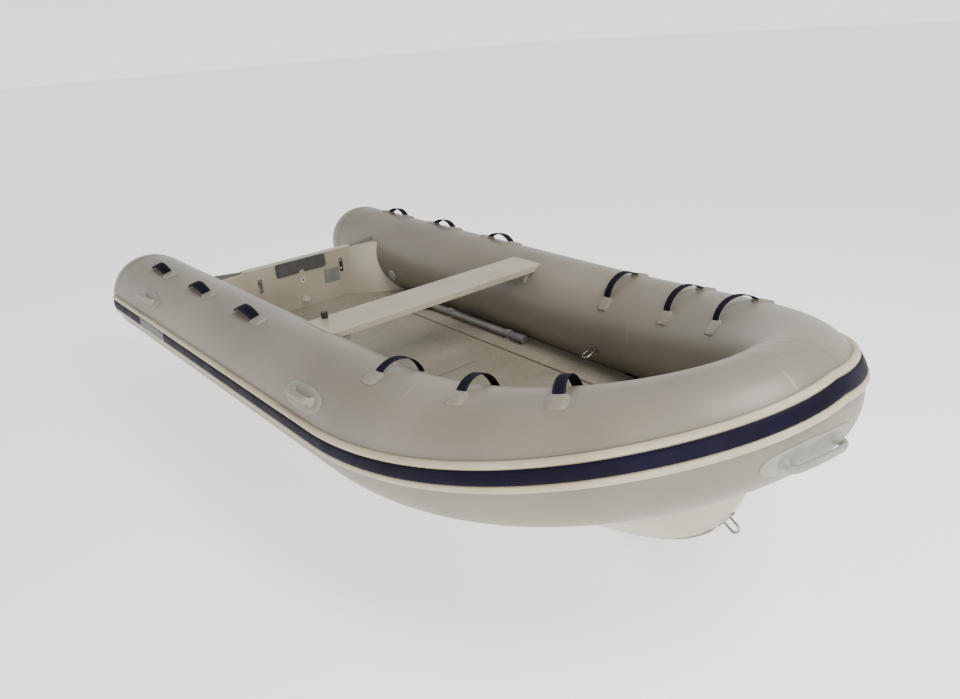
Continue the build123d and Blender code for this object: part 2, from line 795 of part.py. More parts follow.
def oar_clip(x):
    """Clip screwed to the sole, open inboard, with a foot under the shaft."""
    section = oar_plane(x)
    hug = oar_r + 0.5
    with BuildPart() as clip:
        with BuildSketch(section):
            Circle(hug + 4)
            with Locations((8, 0)):
                Rectangle(16, 2 * hug + 8)
            Circle(hug, mode=Mode.SUBTRACT)
            with Locations((20, 0)):
                Rectangle(40, 2 * hug, mode=Mode.SUBTRACT)
        extrude(amount=24)
        with BuildSketch(Plane(origin=(x, -oar_y, sole_z + 8))):
            with Locations((12, 0)):
                Rectangle(24, 34)
        extrude(amount=oar_z - hug - sole_z - 8 - 1)
    return clip.part


clips = joined(oar_clip(-401.0), oar_clip(21.0))
save(joined(clips, mirrored(clips)), "oar_clips")
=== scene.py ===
"""Looks of a rigid inflatable dinghy: inflated collar, moulded hull, thwart and fittings.

Everything is in metres in the part's frame: +X to the bow, +Y to port, +Z up.
"""

import math

import bpy
import numpy as np
from mathutils import Matrix, Vector


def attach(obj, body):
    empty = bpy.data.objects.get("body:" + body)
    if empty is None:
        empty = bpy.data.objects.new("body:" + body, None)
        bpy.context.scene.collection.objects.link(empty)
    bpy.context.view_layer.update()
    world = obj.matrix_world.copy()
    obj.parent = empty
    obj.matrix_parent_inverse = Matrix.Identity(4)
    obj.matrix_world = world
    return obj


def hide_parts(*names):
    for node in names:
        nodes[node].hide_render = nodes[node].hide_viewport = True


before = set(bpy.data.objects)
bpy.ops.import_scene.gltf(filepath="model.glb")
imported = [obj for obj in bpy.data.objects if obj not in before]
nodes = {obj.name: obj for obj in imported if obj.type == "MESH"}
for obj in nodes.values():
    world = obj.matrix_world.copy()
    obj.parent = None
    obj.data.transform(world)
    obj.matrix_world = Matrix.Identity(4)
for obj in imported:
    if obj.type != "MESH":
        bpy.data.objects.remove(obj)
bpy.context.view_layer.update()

# --- driving sizes, in metres -----------------------------------------------------------
TUBE_R, TUBE_Z = 0.200, 0.470
STERN_X, STERN_Y = -1.524, 0.632
BOW_X, BOW_Y = 0.438, 0.590
BOW_LENGTH, BOW_RISE, BOW_SLIM = 1.091, 0.209, 0.2
WALL_TURN = math.radians(16)  # where the air chambers meet
STRAKE_AFT, STRAKE_BOW = math.radians(1), math.radians(34)
KEEL_HALF, STEM_HALF, KEEL_LOW = 0.045, 0.016, 0.005
KEEL_BOW_X, KEEL_BOW_LENGTH, KEEL_BOW_RISE = 0.855, 0.600, 0.420
CHINE_IN, CHINE_DOWN, CHINE_LIP, STEM_BACK = 0.048, 0.208, 0.038, 0.048
HULL_AFT, HULL_FORE, SKIN = -1.187, 1.452, 0.007


# --- mesh helpers -----------------------------------------------------------------------
def piece(name, points, faces, material, uv=None, crease=40, body="boat"):
    """One finished object from points and faces, smooth up to the crease angle, facing outwards."""
    points = np.asarray(points, float).reshape(-1, 3)
    triangles = np.array([(f[0], f[i], f[i + 1]) for f in faces for i in range(1, len(f) - 1)])
    a, b, c = (points[triangles[:, i]] for i in range(3))
    if np.einsum("ij,ij->i", a, np.cross(b, c)).sum() < 0:
        faces = [tuple(reversed(f)) for f in faces]
    mesh = bpy.data.meshes.new(name)
    mesh.from_pydata(points.tolist(), [], [tuple(map(int, f)) for f in faces])
    if uv is not None:
        layer = mesh.uv_layers.new(name="surface")
        corner = np.zeros(len(mesh.loops), np.int32)
        mesh.loops.foreach_get("vertex_index", corner)
        layer.data.foreach_set("uv", np.asarray(uv, float).reshape(-1, 2)[corner].ravel())
    mesh.shade_smooth()
    mesh.set_sharp_from_angle(angle=math.radians(crease))
    mesh.materials.append(material)
    obj = bpy.data.objects.new(name, mesh)
    bpy.context.scene.collection.objects.link(obj)
    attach(obj, body)
    return obj


def grid_faces(rows, columns, wrap, start=0):
    """Quads between neighbouring rows of a grid; wrap closes each row on itself."""
    r = np.arange(rows - 1)[:, None]
    c = np.arange(columns if wrap else columns - 1)[None]
    n = (c + 1) % columns
    low, high = r * columns, (r + 1) * columns
    quads = np.stack(np.broadcast_arrays(low + c, low + n, high + n, high + c), -1)
    return [tuple(q) for q in (quads.reshape(-1, 4) + start)]


def tube_faces(rows, columns, start=0):
    """Quads of a grid whose rows are closed rings, with a cap on its first and last ring."""
    last = start + (rows - 1) * columns
    caps = [tuple(range(start, start + columns))[::-1], tuple(range(last, last + columns))]
    return grid_faces(rows, columns, True, start) + caps


def gathered(parts):
    """Several (points, faces, uv) as one, each with its own numbering."""
    points, faces, uvs, start = [], [], [], 0
    for p, f, u in parts:
        p = np.asarray(p).reshape(-1, 3)
        points.append(p)
        uvs.append(np.asarray(u).reshape(-1, 2))
        faces += [tuple(i + start for i in face) for face in f]
        start += len(p)
    return np.concatenate(points), faces, np.concatenate(uvs)


def port_twin(points):
    """The points on the other side of the boat."""
    return np.asarray(points) * np.array([1.0, -1.0, 1.0])


def smooth_step(t):
    """0 below 0, 1 above 1, and 3t^2 - 2t^3 between."""
    t = np.clip(t, 0.0, 1.0)
    return t * t * (3 - 2 * t)


# --- the collar's path ------------------------------------------------------------------
def collar_frame(q):
    """Axis point, outboard, up and ahead directions at path places q.

    q < 0 is the starboard straight run, q metres before the bow curve; 0 to pi is the turn of
    the bow curve, x = BOW_X + L sin q, y = -W cos q, z = TUBE_Z + rise sin^2 q; beyond pi is the
    port straight run.
    """
    q = np.asarray(q, float)
    turn = np.clip(q, 0.0, math.pi)
    s, c = np.sin(turn), np.cos(turn)
    ahead = np.stack([BOW_LENGTH * c, BOW_Y * s, 2 * BOW_RISE * s * c], -1)
    ahead /= np.linalg.norm(ahead, axis=-1, keepdims=True)
    reach = np.where(q < 0, q, np.where(q > math.pi, math.pi - q, 0.0))
    flare = (STERN_Y - BOW_Y) / (STERN_X - BOW_X)
    side = np.where(c > 0, -1.0, 1.0)
    x = BOW_X + BOW_LENGTH * s + reach
    y = -BOW_Y * c + side * flare * reach
    axis = np.stack([x, y, TUBE_Z + BOW_RISE * s**2], -1)
    out = np.cross(ahead, [0.0, 0.0, 1.0])
    out /= np.linalg.norm(out, axis=-1, keepdims=True)
    up = np.cross(-ahead, out)
    return axis, out, up, ahead


def radius_at(q):
    """The collar's radius at path places q: r (1 - slim sin^2 q), slimmest in the bow's middle."""
    return TUBE_R * (1 - BOW_SLIM * np.sin(np.clip(q, 0.0, math.pi)) ** 2)


def on_collar(q, angle, height):
    """Point at an angle up from outboard and a height over the skin, at path place q."""
    axis, out, up, _ = collar_frame(q)
    radius = (radius_at(q) + height)[..., None]
    angle = np.asarray(angle, float)[..., None]
    return axis + radius * (np.cos(angle) * out + np.sin(angle) * up)


def run_length(q):
    """Length along the axis up to each place, from the summed distance of neighbouring points."""
    axis = collar_frame(q)[0]
    steps = np.linalg.norm(np.diff(axis, axis=0), axis=-1)
    return np.concatenate([[0.0], np.cumsum(steps)])


AFT_Q = STERN_X - BOW_X
BOW_SEAM = math.radians(84)
SEAM_HALF = 0.018  # half width of a seam tape
SEAM_RISE = 0.0009
seam_places = [AFT_Q, WALL_TURN, BOW_SEAM]
seam_places += [math.pi - place for place in seam_places]


def local_scale(place):
    """Metres of axis for one unit of q at a place."""
    a, b = collar_frame(np.array([place - 0.001, place + 0.001]))[0]
    return max(0.2, float(np.linalg.norm(b - a)) / 0.002)


# --- materials --------------------------------------------------------------------------
def srgb(text):
    """Linear colour of an sRGB hex value."""
    parts = [int(text[i : i + 2], 16) / 255 for i in (0, 2, 4)]
    return (*[p / 12.92 if p <= 0.04045 else ((p + 0.055) / 1.055) ** 2.4 for p in parts], 1.0)


def add_node(tree, kind, inputs=None, **settings):
    """A node with its settings, its input values and the links into it."""
    node = tree.nodes.new(kind)
    for key, value in settings.items():
        setattr(node, key, value)
    for key, value in (inputs or {}).items():
        if isinstance(value, bpy.types.NodeSocket):
            tree.links.new(value, node.inputs[key])
        else:
            node.inputs[key].default_value = value
    return node


WEAR = 0.06  # how far the roughness strays to either side


def finish(name, light, dark, mottle, rough, grain, depth, metallic=0.0, coat=0.0, pattern=None, gleam=0.5):
    """A surface between two tones, clouded at the mottle size, with a fine relief of the grain size.

    The tone and the roughness follow two noises on Object coordinates. The relief is a noise, or
    what the pattern function builds. The mottle, grain and depth are in metres.
    """
    material = bpy.data.materials.new(name)
    material.use_nodes = True
    tree = material.node_tree
    tree.nodes.clear()
    place = add_node(tree, "ShaderNodeTexCoord")
    spot = place.outputs["Object"]
    cloud = add_node(tree, "ShaderNodeTexNoise", {"Vector": spot, "Scale": 1 / mottle, "Detail": 4.0})
    stretch = {"Value": cloud.outputs["Fac"], "From Min": 0.32, "From Max": 0.68}
    share = add_node(tree, "ShaderNodeMapRange", stretch).outputs["Result"]
    tone = mixed(tree, share, srgb(dark), srgb(light))
    fine = add_node(tree, "ShaderNodeTexNoise", {"Vector": spot, "Scale": 2.1 / mottle, "Detail": 3.0})
    wear = {"Value": fine.outputs["Fac"], "From Min": 0.3, "From Max": 0.7}
    wear.update({"To Min": rough - WEAR, "To Max": rough + WEAR})
    gloss = add_node(tree, "ShaderNodeMapRange", wear).outputs["Result"]
    if pattern is None:
        pores = add_node(tree, "ShaderNodeTexNoise", {"Vector": spot, "Scale": 1 / grain, "Detail": 2.0})
        relief = pores.outputs["Fac"]
    else:
        relief, tone = pattern(tree, place, tone, grain)
    bump = add_node(tree, "ShaderNodeBump", {"Height": relief, "Strength": 1.0, "Distance": depth})
    look = {"Base Color": tone, "Roughness": gloss, "Normal": bump.outputs["Normal"], "Metallic": metallic}
    look.update({"Coat Weight": coat, "Coat Roughness": 0.25, "Specular IOR Level": gleam})
    shader = add_node(tree, "ShaderNodeBsdfPrincipled", look)
    add_node(tree, "ShaderNodeOutputMaterial", {"Surface": shader.outputs["BSDF"]})
    return material


def mixed(tree, factor, a, b):
    """Colour between a and b."""
    node = add_node(tree, "ShaderNodeMix", data_type="RGBA")
    for socket, value in ((node.inputs[0], factor), (node.inputs[6], a), (node.inputs[7], b)):
        if isinstance(value, bpy.types.NodeSocket):
            tree.links.new(value, socket)
        else:
            socket.default_value = value
    return node.outputs[2]


def reckon(tree, operation, *values):
    """Result of one Math node."""
    node = add_node(tree, "ShaderNodeMath", operation=operation)
    for socket, value in zip(node.inputs, values):
        if isinstance(value, bpy.types.NodeSocket):
            tree.links.new(value, socket)
        else:
            socket.default_value = value
    return node.outputs[0]


def waves(tree, place, along, across):
    """Product of two sine waves on the piece's own UV, one along it and one across, from 0 to 1."""
    split = add_node(tree, "ShaderNodeSeparateXYZ", {"Vector": place.outputs["UV"]})
    first = reckon(tree, "SINE", reckon(tree, "MULTIPLY", split.outputs["X"], math.pi / along))
    second = reckon(tree, "SINE", reckon(tree, "MULTIPLY", split.outputs["Y"], math.pi / across))
    return split, reckon(tree, "MULTIPLY_ADD", reckon(tree, "MULTIPLY", first, second), 0.5, 0.5)


def woven(tree, place, tone, thread):
    """Over-and-under threads, a little darker where they are raised."""
    _, raised = waves(tree, place, thread, thread)
    shaded = mixed(tree, 0.5, tone, (0.0, 0.0, 0.0, 1.0))
    return raised, mixed(tree, reckon(tree, "MULTIPLY", raised, 0.35), tone, shaded)


def ribbed_webbing(tree, place, tone, thread):
    """Ribs across the band and a row of stitches inside each edge."""
    split, raised = waves(tree, place, thread, thread * 1.3)
    stitch = reckon(tree, "SINE", reckon(tree, "MULTIPLY", split.outputs["X"], 2 * math.pi / 0.008))
    dash = reckon(tree, "GREATER_THAN", stitch, -0.2)
    edge = reckon(tree, "COMPARE", reckon(tree, "ABSOLUTE", split.outputs["Y"]), 0.0145, 0.0011)
    thread_here = reckon(tree, "MULTIPLY", dash, edge)
    worn = mixed(tree, reckon(tree, "MULTIPLY", raised, 0.4), tone, srgb("1D1D2B"))
    return reckon(tree, "ADD", raised, thread_here), mixed(tree, thread_here, worn, srgb("34354A"))


def tread(tree, place, tone, pitch):
    """Moulded non-slip: small rounded studs from the distance to the cells' middles."""
    where = {"Vector": place.outputs["Object"], "Scale": 1 / pitch, "Randomness": 0.35}
    cells = add_node(tree, "ShaderNodeTexVoronoi", where)
    slope = {"Value": cells.outputs["Distance"], "From Min": 0.2, "From Max": 0.5}
    slope.update({"To Min": 1.0, "To Max": 0.0})
    stud = add_node(tree, "ShaderNodeMapRange", slope).outputs["Result"]
    return stud, mixed(tree, reckon(tree, "MULTIPLY", stud, 0.25), tone, srgb("C9C2B2"))


def brushed(tree, place, tone, grain):
    """Fine lines along X: a noise squeezed hard across them."""
    squeeze = {"Vector": place.outputs["Object"], "Scale": (0.06, 1.0, 1.0)}
    along = add_node(tree, "ShaderNodeMapping", squeeze).outputs["Vector"]
    lines = add_node(tree, "ShaderNodeTexNoise", {"Vector": along, "Scale": 1 / grain})
    return lines.outputs["Fac"], tone


# PVC-coated polyester, calendered: an even satin skin, faintly clouded, its base cloth just
# telling through. The thread is drawn at 1.6 mm, coarser than the real 0.6 mm, so that it shows.
coated_fabric = finish(
    "coated_pvc_fabric_grey", "8A8273", "787163",
    mottle=0.45, rough=0.42, grain=0.0016, depth=0.00006, coat=0.08, pattern=woven,
)
# the same cloth, of a more even tone, for patches glued on afterwards
patch_fabric = finish(
    "coated_pvc_fabric_patch", "877F71", "7A7365",
    mottle=0.10, rough=0.46, grain=0.0012, depth=0.00008, coat=0.05,
)
# uncoated on its outer side, so duller and rougher
gusset_fabric = finish(
    "coated_pvc_fabric_gusset", "807D77", "706D67",
    mottle=0.10, rough=0.50, grain=0.0012, depth=0.0001,
)
# PVC extruded in two colours: satin cream, a little soiled, and a duller navy
cream_pvc = finish(
    "extruded_pvc_cream", "B8AD91", "A79C81",
    mottle=0.20, rough=0.44, grain=0.004, depth=0.0001, coat=0.05,
)
navy_pvc = finish(
    "extruded_pvc_navy", "0C0820", "080517",
    mottle=0.15, rough=0.60, grain=0.004, depth=0.0001, gleam=0.12,
)
# calendered sheet, printed in one tone: flat and even
plain_vinyl = finish(
    "printed_vinyl_plain", "4A4A52", "404048",
    mottle=0.06, rough=0.45, grain=0.003, depth=0.00005,
)
# polypropylene webbing, woven: matt and ribbed, with a paler stitch inside each edge
webbing = finish(
    "woven_webbing_navy", "0B0A18", "07060F",
    mottle=0.03, rough=0.85, grain=0.0018, depth=0.0005, pattern=ribbed_webbing, gleam=0.12,
)
# PVC moulded and glued on: satin, a little greyer than the skin round it
moulded_grip = finish(
    "moulded_pvc_handle_grey", "929084", "807E73",
    mottle=0.08, rough=0.48, grain=0.003, depth=0.0001, coat=0.03,
)
# gelcoat over glass mat: glossy, slightly wavy, ivory, chalked in large clouds
gelcoat = finish(
    "gelcoat_ivory", "B3AB96", "9D9581",
    mottle=0.35, rough=0.34, grain=0.012, depth=0.00025, coat=0.2,
)
# the same gelcoat from a mould with studs in it, made rougher by feet; its colour is painted darker than
# the rest of the gelcoat, as painted shade over the sole
gelcoat_tread_painted_shade = finish(
    "gelcoat_non_slip_painted_shade", "928B79", "7F7967",
    mottle=0.30, rough=0.54, grain=0.009, depth=0.0007, pattern=tread,
)
# extruded strip, scuffed dull where it meets the ground
strip_pvc = finish(
    "extruded_strip_grey", "7C7A74", "6A6862",
    mottle=0.10, rough=0.55, grain=0.003, depth=0.0001,
)
# moulded polyethylene, pebbled and matt
motor_pad = finish(
    "moulded_pad_dark_grey", "4E4D4A", "3E3D3A",
    mottle=0.05, rough=0.55, grain=0.002, depth=0.0003,
)
# nylon moulded in three colours: satin, with a faint flow grain
black_nylon = finish(
    "moulded_nylon_black", "1C1C1E", "121214",
    mottle=0.03, rough=0.42, grain=0.0012, depth=0.0002,
)
ivory_nylon = finish(
    "moulded_nylon_ivory", "C6BFAF", "B4AD9D",
    mottle=0.03, rough=0.40, grain=0.0012, depth=0.0001,
)
grey_nylon = finish(
    "moulded_nylon_grey", "A2A5A1", "8F928E",
    mottle=0.05, rough=0.40, grain=0.0012, depth=0.0001,
)
# foamed rubber sleeve: matt, with open pores
grip_foam = finish(
    "moulded_grip_grey", "7B7B79", "686866",
    mottle=0.04, rough=0.60, grain=0.0015, depth=0.0003,
)
# ivory two-part paint over marine plywood, brushed on, so a little uneven
painted_wood = finish(
    "painted_marine_plywood", "ADA58F", "9B937D",
    mottle=0.25, rough=0.38, grain=0.010, depth=0.0002, coat=0.15,
)
# stainless rod, bent and then polished by hand: bright, with faint clouds
stainless = finish(
    "polished_stainless_rod", "A9A8A4", "8A8986",
    mottle=0.02, rough=0.26, grain=0.0010, depth=0.00004, metallic=1.0,
)
# drawn aluminium tube, anodised: fine lines along it, soft reflections
anodised = finish(
    "anodised_aluminium_tube", "908F89", "7E7D77",
    mottle=0.05, rough=0.46, grain=0.0012, depth=0.00006, metallic=0.5, pattern=brushed,
)
# rolled alloy sheet, left plain: brushed and dull
plate_alloy = finish(
    "plain_alloy_plate", "979B92", "868A81",
    mottle=0.04, rough=0.48, grain=0.0015, depth=0.00005, metallic=0.5, pattern=brushed,
)


# --- inflated collar --------------------------------------------------------------------
def collar_mesh():
    """Round skin swept along the path, closed aft by half spheres of radius r cos b, set back r sin b.

    Where two panels lap, a seam tape stands SEAM_RISE proud, with a smooth shoulder either side.
    """
    straight = np.linspace(AFT_Q, 0.0, 60)
    curve = np.linspace(0.0, math.pi, 260)
    q = np.concatenate([straight, curve, math.pi - straight])
    for place in seam_places:
        scale = local_scale(place)
        edges = np.array([-1.08, -1.0, -0.9, -0.5, 0.5, 0.9, 1.0, 1.08]) * SEAM_HALF / scale
        q = np.concatenate([q, place + edges])
    q = np.unique(np.clip(q, AFT_Q, math.pi - AFT_Q).round(6))
    tape = np.zeros(len(q))
    for place in seam_places:
        away = np.abs(q - place) * local_scale(place) / SEAM_HALF
        tape += SEAM_RISE * smooth_step((1.08 - away) / 0.14)
    beta = np.linspace(math.pi / 2, 0, 26)[:-1]
    fall = TUBE_R * (np.cos(beta) - 1)
    fall[0] = 0.0004 - TUBE_R
    q_all = np.concatenate([np.full(25, q[0]), q, np.full(25, q[-1])])
    height = np.concatenate([fall, tape, fall[::-1]])
    back = np.concatenate([TUBE_R * np.sin(beta), np.zeros(len(q)), TUBE_R * np.sin(beta[::-1])])
    angle = np.linspace(0, 2 * math.pi, 112, endpoint=False)
    places, around = np.meshgrid(q_all, angle, indexing="ij")
    points = on_collar(places, around, height[:, None] + 0 * angle)
    points[..., 0] -= back[:, None]
    length = run_length(q_all) + np.concatenate([-back[:25], np.zeros(len(q)), back[-25:]])
    uv = np.stack(np.broadcast_arrays(length[:, None], angle[None] * TUBE_R), -1)
    return points, tube_faces(len(q_all), len(angle)), uv


points, faces, uv = collar_mesh()
collar = piece("collar", points, faces, coated_fabric, uv, crease=60)
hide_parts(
    "chamber_starboard",
    "chamber_port",
    "chamber_bow",
    "chamber_wall_starboard",
    "chamber_wall_port",
    "end_cone_starboard",
    "end_cone_port",
)


# --- rubbing strake ---------------------------------------------------------------------
def strake_angle(q):
    """Angle of the strake's centre: level aft, climbing with the turn to the bow's middle."""
    turn = np.clip(q, 0.0, math.pi)
    share = np.minimum(turn, math.pi - turn) / (math.pi / 2)
    return STRAKE_AFT + (STRAKE_BOW - STRAKE_AFT) * share**1.12


def moulding(section, q):
    """A section of (arc, height) pairs in mm carried round the collar: angle = centre + arc / r."""
    arc, height = np.array(section).T / 1000
    places = np.broadcast_to(q[:, None], (len(q), len(arc)))
    angle = strake_angle(q)[:, None] + arc / radius_at(q)[:, None]
    points = on_collar(places, angle, height + 0 * places)
    around = np.concatenate([[0.0], np.cumsum(np.hypot(np.diff(arc), np.diff(height)))])
    uv = np.stack(np.broadcast_arrays(run_length(q)[:, None], around), -1)
    return points, tube_faces(len(q), len(arc)), uv


def two_sided(section):
    """A half section and its mirror image, in order round the outline."""
    return section + [(-arc, height) for arc, height in reversed(section)]


STRAKE_END = STERN_X + 0.008 - BOW_X
PANEL_AFT, PANEL_FORE = STERN_X + 0.385 - BOW_X, STERN_X + 0.690 - BOW_X
bead = [(-41, -2.0), (-41, 4.5), (-40.4, 8.2), (-38.6, 11.2), (-35.4, 13.2), (-31, 14.0)]
bead += [(-26.5, 13.9), (-23.4, 12.8), (-21.2, 10.8), (-20.3, 8.2)]
straight = np.linspace(STRAKE_END, 0, 50)
curve = np.linspace(0, math.pi, 260)[1:-1]
whole_path = np.concatenate([straight, curve, math.pi - straight[::-1]])
points, faces, uv = moulding(two_sided(bead), whole_path)
strake = piece("strake_moulding", points, faces, cream_pvc, uv, crease=50)
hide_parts("strake")

inlay = two_sided([(-19.0, 7.0), (-19.0, 11.4), (-17.8, 12.6), (-9, 13.1)])
fore = np.linspace(PANEL_FORE, 0, 30)
fore_path = np.concatenate([fore, curve, math.pi - fore[::-1]])
tail_path = np.linspace(STRAKE_END, PANEL_AFT, 12)
runs = [moulding(inlay, path) for path in (fore_path, tail_path, math.pi - tail_path)]
points, faces, uv = gathered(runs)
band = piece("strake_inlay_band", points, faces, navy_pvc, uv, crease=50)
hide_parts("strake_inlay")


# --- moulded hull -----------------------------------------------------------------------
def keel_height(x):
    """Underside of the keel: level, then a quarter ellipse up the stem."""
    u = np.clip((x - KEEL_BOW_X) / KEEL_BOW_LENGTH, 0, 1)
    return KEEL_LOW + KEEL_BOW_RISE * (1 - np.sqrt(1 - u * u))


def chine_line(x):
    """Half breadth of the chine, its height and the flange over it, at stations x."""
    side = STERN_Y + (BOW_Y - STERN_Y) * (x - STERN_X) / (BOW_X - STERN_X)
    u = np.clip((x - BOW_X) / BOW_LENGTH, 0, None)
    narrow = np.sqrt(np.clip(1 - (u * BOW_LENGTH / (BOW_LENGTH - STEM_BACK)) ** 2, 0, 1))
    breadth = np.where(x <= BOW_X, side - CHINE_IN, (BOW_Y - CHINE_IN) * narrow)
    height = TUBE_Z + BOW_RISE * u**2 - CHINE_DOWN * (1 - BOW_SLIM * u**2)
    return breadth, height, CHINE_LIP * (1 + u)


def hull_mesh():
    """Shell from keel to flange: a flat under the keel, a straight run to the chine, the flange.

    The flat narrows up the stem. Half section in t: y = flat + run t, z = keel + rise t. The inner
    side is the same section moved in by the skin.
    """
    bow = np.sin(np.linspace(0, math.pi / 2, 80))
    x = np.concatenate([np.linspace(HULL_AFT, 0.4, 30), BOW_X + (HULL_FORE - BOW_X) * bow])
    breadth, height, lip = (v[:, None] for v in chine_line(x))
    low = keel_height(x)[:, None]
    narrowing = np.clip((x - KEEL_BOW_X + 0.25) / 0.7, 0, 1)[:, None]
    flat = np.minimum(KEEL_HALF + (STEM_HALF - KEEL_HALF) * narrowing, breadth * 0.9)
    t = np.linspace(0, 1, 22)
    run, rise = np.maximum(breadth - flat, 0.002), height - low
    out_y = np.concatenate([0 * run, flat + run * t, breadth, breadth], 1)
    out_z = np.concatenate([low, low + rise * t, height + 0.3 * lip, height + lip], 1)
    slope = np.hypot(run, rise) / run
    in_y = np.maximum(out_y[:, ::-1] - SKIN * (out_y[:, ::-1] > 0.06), 0)
    in_z = out_z[:, ::-1] + SKIN * slope * (np.arange(25) > 1)
    half_y, half_z = np.concatenate([out_y, in_y], 1), np.concatenate([out_z, in_z], 1)
    full_y = np.concatenate([half_y, -half_y[:, -2:0:-1]], 1)
    full_z = np.concatenate([half_z, half_z[:, -2:0:-1]], 1)
    points = np.stack(np.broadcast_arrays(x[:, None], full_y, full_z), -1)
    return points, tube_faces(len(x), full_y.shape[1]), points[..., :2]


points, faces, uv = hull_mesh()
hull = piece("hull_shell", points, faces, gelcoat, uv, crease=35)
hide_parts("hull")


# --- webbing handles --------------------------------------------------------------------
STRAP_HALF, STRAP_T, STRAP_RISE, HALF_SPAN, TAIL = 0.019, 0.0034, 0.028, 0.078, 0.034
AFT_ANGLE = math.radians(77)
FORE_OUT, FORE_IN = math.radians(84), math.radians(134)
AFT_PLACES = [STERN_X + ahead - BOW_X for ahead in (0.334, 0.781, 1.239)]
PATCH_OFF = 0.100  # middle of an aft patch from the middle of its handle
PATCH_LONG, PATCH_WIDE = 0.031, 0.032  # half sizes along the webbing and across it
PATCH_TURN = math.radians(6.5)
HUMP = 0.0052  # how far a patch stands up over the webbing under it
FORE_TURNS = [math.radians(turn) for turn in (7.5, 27.0, 45.0)]


def surface_at(q0, angle0, along, around, height):
    """Points near a place on the collar: along the tube and round it, in metres, and above the skin."""
    along, around, height = np.broadcast_arrays(along, around, height)
    return on_collar(q0 + along / local_scale(q0), angle0 + around / radius_at(q0), height)


def strap_mesh(q0, angle0, across):
    """A flat band of webbing: an arc of a circle between two feet, and tails lying on the patches.

    The arc passes through both feet and the rise over the middle: with sag the drop of the feet,
    R = (w^2 + (rise + sag)^2) / 2 (rise + sag). Round the tube its points (w, h) lie at the angle
    atan(w / (r + h)) and at the height hypot(w, r + h) - r over the skin.
    """
    r = float(radius_at(q0))
    half_turn = (FORE_IN - FORE_OUT) / 2
    half, sag = (r * math.sin(half_turn), r * (1 - math.cos(half_turn))) if across else (HALF_SPAN, 0.0)
    drop = STRAP_RISE + sag
    big = (half**2 + drop**2) / (2 * drop)
    swing = np.linspace(-1, 1, 45) * math.asin(half / big)
    w, h = big * np.sin(swing), STRAP_RISE - big + big * np.cos(swing)
    if across:
        w, h = r * np.arctan2(w, r + h), np.hypot(w, r + h) - r
    tail = np.linspace(TAIL, 0.004, 10)
    w = np.concatenate([w[0] - tail, w, w[-1] + tail[::-1]])
    lift = 0.0030 + np.concatenate([np.zeros(10), np.maximum(h, 0), np.zeros(10)])
    # rounded-edge section of the band, its thickness square to the slope of the arc
    v = np.array([-1, -0.9, -0.45, 0.45, 0.9, 1, 0.9, 0.45, -0.45, -0.9]) * STRAP_HALF
    thick = np.array([0.5, 0.92, 1, 1, 0.92, 0.5, 0.08, 0, 0, 0.08]) * STRAP_T
    slope = np.gradient(lift, w)
    tilt = 1 / np.hypot(1, slope)
    run = w[:, None] - thick * (slope * tilt)[:, None]
    height = lift[:, None] + thick * tilt[:, None]
    points = surface_at(q0, angle0, v, run, height) if across else surface_at(q0, angle0, run, v, height)
    length = np.concatenate([[0], np.cumsum(np.hypot(np.diff(w), np.diff(lift)))])
    uv = np.stack(np.broadcast_arrays(length[:, None], v[None]), -1)
    return points, tube_faces(len(w), len(v)), uv


def patch_mesh(q0, angle0, half_along, half_around, bulge_axis):
    """A glued patch: a squared disc |u|^4 + |v|^4 = 1 on the skin, 2.6 mm thick with a rounded rim.

    The part over the webbing's tail stands higher: a smooth hump across the tail's width.
    """
    rings = np.array([0.0, 0.25, 0.5, 0.7, 0.85, 0.93, 0.975, 1.0, 1.0])
    height = np.array([2.6, 2.6, 2.6, 2.6, 2.6, 2.5, 2.0, 1.2, -2.0]) / 1000
    turn = np.linspace(0, 2 * math.pi, 56, endpoint=False)
    c, s = np.cos(turn), np.sin(turn)
    squared = (c**4 + s**4) ** -0.25
    u = rings[:, None] * squared * c
    v = rings[:, None] * squared * s
    u[0], v[0] = 0.004 * c, 0.004 * s
    lengthwise = bulge_axis == "along"
    tail = np.abs(v) * half_around if lengthwise else np.abs(u) * half_along
    reach = np.abs(u if lengthwise else v)
    hump = HUMP * smooth_step((0.0245 - tail) / 0.005) * smooth_step((0.94 - reach) / 0.10)
    points = surface_at(q0, angle0, u * half_along, v * half_around, height[:, None] + hump)
    faces = grid_faces(len(rings), len(turn), True) + [tuple(range(len(turn)))[::-1]]
    last = (len(rings) - 1) * len(turn)
    faces.append(tuple(range(last, last + len(turn))))
    return points, faces, np.stack([u * half_along, v * half_around], -1)


aft_straps = [strap_mesh(q0, AFT_ANGLE, False) for q0 in AFT_PLACES]
fore_middle = (FORE_OUT + FORE_IN) / 2
fore_straps = [strap_mesh(turn, fore_middle, True) for turn in FORE_TURNS]
patches = []
for q0 in AFT_PLACES:
    for way in (-1, 1):
        patches.append(patch_mesh(q0 + way * PATCH_OFF, AFT_ANGLE, PATCH_LONG, PATCH_WIDE, "along"))
for turn in FORE_TURNS:
    for angle in (FORE_OUT - PATCH_TURN, FORE_IN + PATCH_TURN):
        patches.append(patch_mesh(turn, angle, PATCH_WIDE, PATCH_LONG, "around"))

for side, twin in (("starboard", False), ("port", True)):
    for name, parts, material, slot, node in (
        ("webbing_aft", aft_straps, webbing, "navy_webbing", "grab_straps_aft"),
        ("webbing_fore", fore_straps, webbing, "navy_webbing", "grab_straps_fore"),
        ("webbing_patches", patches, patch_fabric, "collar_fabric", "grab_patches"),
    ):
        points, faces, uv = gathered(parts)
        if twin:
            points = port_twin(points)
        made = piece(f"{name}_{side}", points, faces, material, uv, crease=55)
        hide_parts(f"{node}_{side}")


# --- moulded carry handles --------------------------------------------------------------
CARRY_LONG, CARRY_WIDE = 0.105, 0.042  # half axes of the base
LEG_OUT, BAR_RISE, BEND = 0.060, 0.030, 0.014


